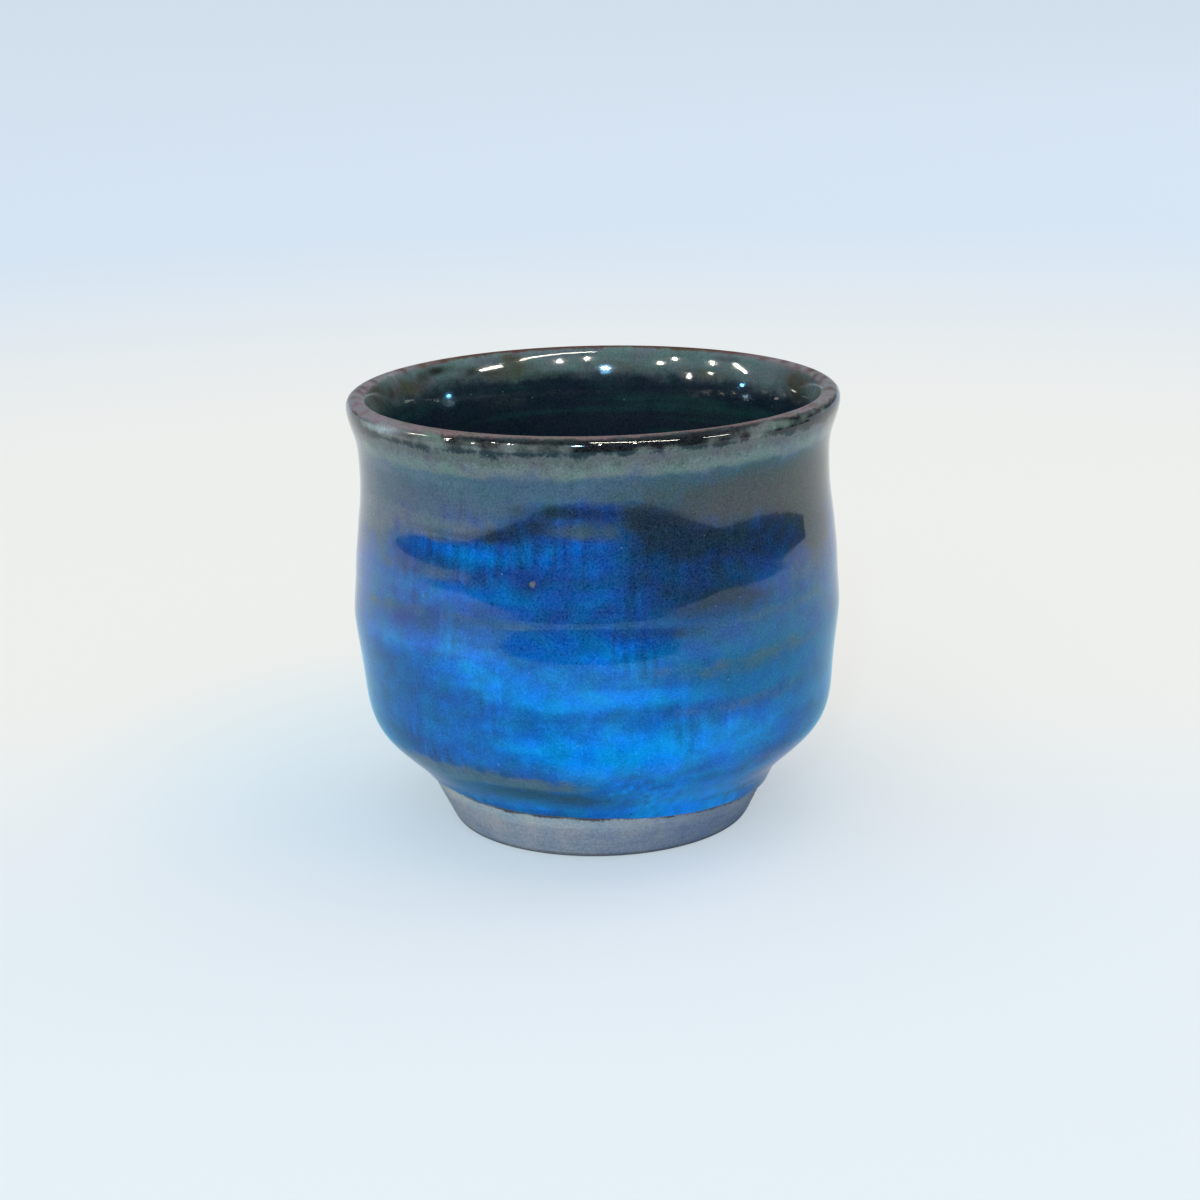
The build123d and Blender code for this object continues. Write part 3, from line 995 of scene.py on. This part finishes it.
class SAKECUP_OT_inner_glaze(bpy.types.Operator):
    """Make the dark coat that lines the wall and the floor"""

    bl_idname = "sakecup.inner_glaze"
    bl_label = "Inner glaze"

    def execute(self, context):
        sizes = context.scene.cup_sizes
        outline = cup_outline(sizes)
        phi = azimuths(RIM_COLUMNS)[None, :]
        back = np.linspace(outline.end, outline.inner_band, RIM_BACK_ROWS)[:, None]
        skin = np.linspace(outline.inner_band, outline.end, INNER_ROWS)[:, None]
        faces = [(back, 0.0), (skin, sizes.glaze)]
        piece = coat("inner_glaze_dark", sizes, outline, phi, faces, capped=True)
        material = glaze_material("dark_inner_glaze", context.scene.cup_colours)
        settle(piece, material, "inner_glaze")
        return {"FINISHED"}


# Sheet of pale paper that the glaze mirrors: its front, left and right edges and how soft they
# are, in millimetres
PAPER = {"front": -192.0, "left": -347.0, "right": 289.0}
PAPER_SOFT = 1.0
# Backdrop: how steeply its edges run to the back on the left and the right, how soft they are on
# the floor in millimetres and in the world, and the rise at which it ends there
BACKDROP = (0.3, 0.404)
BACKDROP_SOFT, BACKDROP_WORLD_SOFT = 2.0, 0.01
BACKDROP_TOP = (0.12, 0.03)
ROOM = (0.02, 0.022, 0.03)
PAPER_MIRRORED = (0.7, 0.82, 0.92)
# Changes over the floor, each from where it starts to where it is whole in millimetres: to the
# back from near to middle, and away from the cup to far
MIDDLE_FLOOR, FAR_FLOOR = (-40.0, 50.0), (200.0, 650.0)
# Bluish shade round a place on the left, behind the cup's axis: place, reach and factors
SHADE_PLACE = (-18.0, 18.0, 0.0)
SHADE_REACH = (68.0, 22.0)
SHADE_TINT = (0.87, 0.975, 1.05)
# Mirrored floor: to the front, in from the sides, away from the cup, and in front of its foot
MIRRORED_FRONT, MIRRORED_SIDES = (150.0, -20.0), (230.0, 60.0)
MIRRORED_AWAY, MIRRORED_FOOT = (26.0, 42.0), (2.0, -26.0)
# Blue cast, mirrored too: a band across the front, in from its near and far edge and its sides
CAST_NEAR, CAST_FAR, CAST_SIDES = (-76.0, -62.0), (-36.0, -50.0), (60.0, 12.0)
# Blue cast under the overhang: towards the cup, to the front, and its share
OVERHANG, OVERHANG_FRONT = (34.0, 28.0), (4.0, -12.0)
OVERHANG_CAST = 0.45
# Light of the floor's own that the camera sees: its share and its strength
GLOW_SHARE, GLOW_STRENGTH = 0.5, 0.98
# Soft light: its strength all round, and how much more comes from straight above
LIGHT_ROUND, LIGHT_ABOVE = 0.32, 1.1
# Floor to the sides and the front, and to the back, in metres
FLOOR_SIDE, FLOOR_BACK = 6.0, 9.0


def backdrop(tree, x, y, soft):
    """1 between the two edges of the backdrop, behind the cup, 0 in front of them."""
    left = tree.math("MULTIPLY_ADD", x, BACKDROP[0], y)
    right = tree.math("MULTIPLY_ADD", x, -BACKDROP[1], y)
    return tree.ramp(tree.math("MINIMUM", left, right), -soft, soft)


def paper_sheet(tree, x, y):
    """1 on the sheet of paper, with its backdrop, 0 beside it."""
    front, left, right = PAPER["front"], PAPER["left"], PAPER["right"]
    sheet = tree.product(
        tree.ramp(y, front - PAPER_SOFT, front + PAPER_SOFT),
        tree.ramp(x, left - PAPER_SOFT, left + PAPER_SOFT),
        tree.ramp(x, right + PAPER_SOFT, right - PAPER_SOFT),
    )
    return tree.math("MAXIMUM", sheet, backdrop(tree, x, y, BACKDROP_SOFT))


def floor_material(stage):
    """Pale matt floor, half lit by itself, that changes to the back and away from the cup.

    In reflections it is bluer in front of the cup, and dark beside its sheet of paper.
    """
    material = bpy.data.materials.new("pale_floor")
    tree = Tree(material)
    path = tree.add("ShaderNodeLightPath").outputs
    glossy = path["Is Glossy Ray"]
    spot = tree.millimetres()
    x, y, _ = tree.axes(spot)
    aside = tree.math("ABSOLUTE", x)
    away = tree.vector("LENGTH", spot, result="Value")
    body = tree.mix(tree.ramp(y, *MIDDLE_FLOOR), stage.near, stage.middle)
    body = tree.mix(tree.ramp(away, *FAR_FLOOR), body, stage.far)
    shade = tree.vector("DISTANCE", spot, SHADE_PLACE, result="Value")
    shaded = tree.vector("MULTIPLY", body, SHADE_TINT)
    body = tree.mix(tree.ramp(shade, *SHADE_REACH), body, shaded)
    front = tree.product(tree.ramp(y, *MIRRORED_FRONT), tree.ramp(aside, *MIRRORED_SIDES))
    clear = tree.math("MAXIMUM", tree.ramp(away, *MIRRORED_AWAY), tree.ramp(y, *MIRRORED_FOOT))
    body = tree.mix(tree.product(glossy, front, clear), body, stage.mirrored)
    deep = tree.product(tree.ramp(y, *CAST_NEAR), tree.ramp(y, *CAST_FAR))
    cast = tree.product(deep, tree.ramp(aside, *CAST_SIDES))
    under = tree.product(tree.ramp(away, *OVERHANG), tree.ramp(y, *OVERHANG_FRONT), OVERHANG_CAST)
    cast = tree.math("MAXIMUM", cast, under)
    body = tree.mix(tree.product(glossy, cast), body, stage.cast)
    matt = tree.add("ShaderNodeBsdfDiffuse", {"Color": body})
    pale = tree.add("ShaderNodeEmission", {"Color": body, "Strength": GLOW_STRENGTH})
    glow = tree.product(path["Is Camera Ray"], GLOW_SHARE)
    matt = tree.add("ShaderNodeMixShader", {0: glow, 1: matt.outputs[0], 2: pale.outputs[0]})
    beyond = tree.product(glossy, tree.math("SUBTRACT", 1.0, paper_sheet(tree, x, y)))
    room = tree.add("ShaderNodeEmission", {"Color": (*ROOM, 1.0)})
    tree.finish(tree.add("ShaderNodeMixShader", {0: beyond, 1: matt.outputs[0], 2: room.outputs[0]}))
    return material


def soft_world(stage):
    """Soft light, strongest from above, a pale background, and a dim room in front in reflections."""
    world = bpy.data.worlds.new("soft_light")
    tree = Tree(world)
    path = tree.add("ShaderNodeLightPath").outputs
    x, y, up = tree.axes(tree.add("ShaderNodeTexCoord").outputs["Generated"])
    behind = tree.product(backdrop(tree, x, y, BACKDROP_WORLD_SOFT), tree.ramp(up, *BACKDROP_TOP))
    mirrored = tree.mix(behind, ROOM, PAPER_MIRRORED)
    seen = tree.math("MAXIMUM", path["Is Camera Ray"], path["Is Transmission Ray"])
    above = tree.math("POWER", tree.math("MAXIMUM", up, 0.0), 2.0)
    soft = tree.scaled((*stage.light,), tree.blend(LIGHT_ROUND, (above, LIGHT_ABOVE)))
    light = tree.mix(path["Is Glossy Ray"], soft, mirrored)
    light = tree.mix(seen, light, stage.sky)
    background = tree.add("ShaderNodeBackground", {"Color": light})
    tree.finish(background, "ShaderNodeOutputWorld")
    bpy.context.scene.world = world


def floor_sheet():
    """Flat floor: a grid of two lengths, with a point each metre."""
    sides = np.arange(-FLOOR_SIDE, FLOOR_SIDE + 1.0)
    across, deep = np.meshgrid(sides, np.arange(-FLOOR_SIDE, FLOOR_BACK + 1.0))
    points = np.stack((across, deep, np.zeros_like(across)), -1).reshape(-1, 3)
    rows, columns = across.shape
    corner = (np.arange(rows - 1)[:, None] * columns + np.arange(columns - 1)).ravel()
    quads = np.stack((corner, corner + 1, corner + columns + 1, corner + columns), -1)
    mesh = bpy.data.meshes.new("floor")
    mesh.from_pydata(points, [], quads.tolist())
    floor = bpy.data.objects.new("floor", mesh)
    bpy.context.scene.collection.objects.link(floor)
    return floor


def direction(azimuth, elevation):
    """Unit vector at an azimuth and an elevation in degrees: 0 to the front, positive to the right."""
    a, e = radians(azimuth), radians(elevation)
    return Vector((sin(a) * cos(e), -cos(a) * cos(e), sin(e)))


def area_lamp(name, place, target, size, watts, tint, shown_in):
    """Rectangular lamp at a place, turned to a target. It shows in diffuse or in glossy light."""
    lamp = bpy.data.lights.new(name, "AREA")
    lamp.shape = "RECTANGLE"
    lamp.size, lamp.size_y = size
    lamp.energy = watts
    lamp.color = tint
    holder = bpy.data.objects.new(name, lamp)
    holder.location = place
    holder.rotation_euler = (Vector(target) - Vector(place)).to_track_quat("-Z", "Y").to_euler()
    holder.visible_glossy = shown_in == "glossy"
    holder.visible_diffuse = shown_in == "diffuse"
    holder.visible_camera = False
    bpy.context.scene.collection.objects.link(holder)
    return holder


# Lamps that light the cup and that nothing mirrors: place and size in metres, and tint
SOFT_LAMPS = {
    "fill": ((1.1, 0.8, 1.0), (1.0, 1.0), (1.0, 0.97, 0.92)),
    "window": ((-0.25, -1.3, 1.0), (1.2, 0.8), (0.72, 0.9, 1.0)),
}
SOFT_TARGET = (0.0, 0.0, 0.02)
# Front lamp: azimuth and elevation in degrees, distance from the rim and radius in metres, tint
FRONT_WAY = (-7.5, 25.0)
FRONT_DISTANCE = 1.2
FRONT_RADIUS = 0.04
FRONT_TINT = (0.2, 0.72, 1.0)
# Small lamps that only the glaze mirrors: azimuth and elevation in degrees, width in metres, how
# blue they are and how strong, all a metre from the rim
BULBS = [
    (-41, 32, 0.016, 0.0, 1.0), (-51, 36, 0.014, 0.0, 1.0), (-74, 30, 0.02, 0.0, 0.5),
    (-56, 15, 0.016, 0.0, 0.6), (-70, 18, 0.02, 0.0, 0.5), (-91, 8, 0.008, 1.0, 1.0),
    (88, 7, 0.009, 1.0, 1.0), (20, 37, 0.016, 0.0, 1.0), (3, 39, 0.016, 0.0, 1.0),
    (-7.5, 25, 0.036, 0.4, 1.0), (-7.5, 25, 0.085, 1.0, 0.03),
]
BULB_RADIANCE = 600.0
BULB_HEIGHT = 2.5  # over the width
WARM, COOL = Vector((1.0, 0.95, 0.8)), Vector((0.15, 0.55, 1.0))
# Long tubes: the two ends, in metres from the cup
TUBES = [
    ((-0.02, -0.40, 0.9), (0.74, -0.77, 0.9)), ((1.07, -0.75, 0.9), (1.45, -0.58, 0.9)),
    ((-1.09, 0.1, 0.45), (-1.02, -0.03, 0.6)),
]
TUBE_WIDTH = 0.03
TUBE_RADIANCE = 130.0
# Width of the camera's sensor in millimetres, and the nearest it sees in metres
SENSOR = 36.0
NEAREST = 0.01


def front_lamp(stage, rim):
    """Small round lamp behind the camera."""
    lamp = bpy.data.lights.new("front", "POINT")
    lamp.energy = stage.front
    lamp.color = FRONT_TINT
    lamp.shadow_soft_size = FRONT_RADIUS
    holder = bpy.data.objects.new("front", lamp)
    holder.location = rim + FRONT_DISTANCE * direction(*FRONT_WAY)
    holder.visible_camera = False
    bpy.context.scene.collection.objects.link(holder)


def mirrored_lamps(rim):
    """Bulbs and tubes that the glaze mirrors, each as strong as its radiance times pi and its area."""
    for number, (azimuth, elevation, width, blue, strength) in enumerate(BULBS):
        size = (width, BULB_HEIGHT * width)
        watts = strength * BULB_RADIANCE * pi * size[0] * size[1]
        place, tint = rim + direction(azimuth, elevation), WARM.lerp(COOL, blue)
        area_lamp(f"bulb_{number}", place, rim, size, watts, tint, "glossy")
    for number, ends in enumerate(TUBES):
        start, end = (Vector(place) for place in ends)
        size = ((end - start).length, TUBE_WIDTH)
        watts = TUBE_RADIANCE * pi * size[0] * size[1]
        tube = area_lamp(f"tube_{number}", (start + end) / 2.0, rim, size, watts, WARM, "glossy")
        lengthwise = (end - start).normalized()
        across = (tube.location - rim).normalized().cross(lengthwise).normalized()
        turn = Matrix((lengthwise, across, lengthwise.cross(across))).transposed()
        tube.matrix_world = Matrix.LocRotScale(tube.location, turn, None)


def front_camera(stage):
    """Camera in front of the cup, turned by its yaw, pitch and roll."""
    camera = bpy.data.cameras.new("camera")
    camera.sensor_width = SENSOR
    camera.lens = stage.lens
    camera.clip_start = NEAREST
    holder = bpy.data.objects.new("camera", camera)
    level = Vector((sin(stage.yaw), cos(stage.yaw), 0.0))
    ahead = level * cos(stage.pitch) - Vector((0.0, 0.0, sin(stage.pitch)))
    turn = ahead.to_track_quat("-Z", "Y").to_matrix() @ Matrix.Rotation(-stage.roll, 3, "Z")
    place = Vector((0.0, -stage.distance, stage.level))
    holder.matrix_world = Matrix.LocRotScale(place, turn, None)
    bpy.context.scene.collection.objects.link(holder)
    bpy.context.scene.camera = holder


class SAKECUP_OT_stage(bpy.types.Operator):
    """Make the floor, the lamps and the camera"""

    bl_idname = "sakecup.stage"
    bl_label = "Stage"

    def execute(self, context):
        stage = context.scene.cup_stage
        floor = floor_sheet()
        floor.data.materials.append(floor_material(stage))
        soft_world(stage)
        for name, (place, size, tint) in SOFT_LAMPS.items():
            area_lamp(name, place, SOFT_TARGET, size, getattr(stage, name), tint, "diffuse")
        rim = Vector((0.0, 0.0, CAD_HEIGHT))
        front_lamp(stage, rim)
        mirrored_lamps(rim)
        front_camera(stage)
        context.scene.view_settings.view_transform = "Standard"
        return {"FINISHED"}


class VIEW3D_PT_sake_cup(bpy.types.Panel):
    """Sake cup in the sidebar"""

    bl_label = "Sake cup"
    bl_space_type = "VIEW_3D"
    bl_region_type = "UI"
    bl_category = "Sake cup"

    def draw(self, context):
        for operator in OPERATORS:
            self.layout.operator(operator.bl_idname)
        for settings in ("cup_sizes", "cup_colours", "cup_stage"):
            group = getattr(context.scene, settings)
            for name in group.__annotations__:
                self.layout.prop(group, name)


OPERATORS = (
    SAKECUP_OT_clay_body,
    SAKECUP_OT_outer_glaze,
    SAKECUP_OT_lip_glaze,
    SAKECUP_OT_inner_glaze,
    SAKECUP_OT_stage,
)
CLASSES = (CupSizes, CupColours, CupStage, *OPERATORS, VIEW3D_PT_sake_cup)


def register():
    """Registers the classes and hangs their settings on the scene."""
    for kind in CLASSES:
        bpy.utils.register_class(kind)
    bpy.types.Scene.cup_sizes = PointerProperty(type=CupSizes)
    bpy.types.Scene.cup_colours = PointerProperty(type=CupColours)
    bpy.types.Scene.cup_stage = PointerProperty(type=CupStage)


def unregister():
    """Takes the settings off the scene and unregisters the classes."""
    del bpy.types.Scene.cup_stage
    del bpy.types.Scene.cup_colours
    del bpy.types.Scene.cup_sizes
    for kind in reversed(CLASSES):
        bpy.utils.unregister_class(kind)


def main():
    """Makes every piece and the stage."""
    register()
    bpy.ops.sakecup.clay_body()
    bpy.ops.sakecup.outer_glaze()
    bpy.ops.sakecup.lip_glaze()
    bpy.ops.sakecup.inner_glaze()
    bpy.ops.sakecup.stage()


if __name__ == "__main__":
    main()
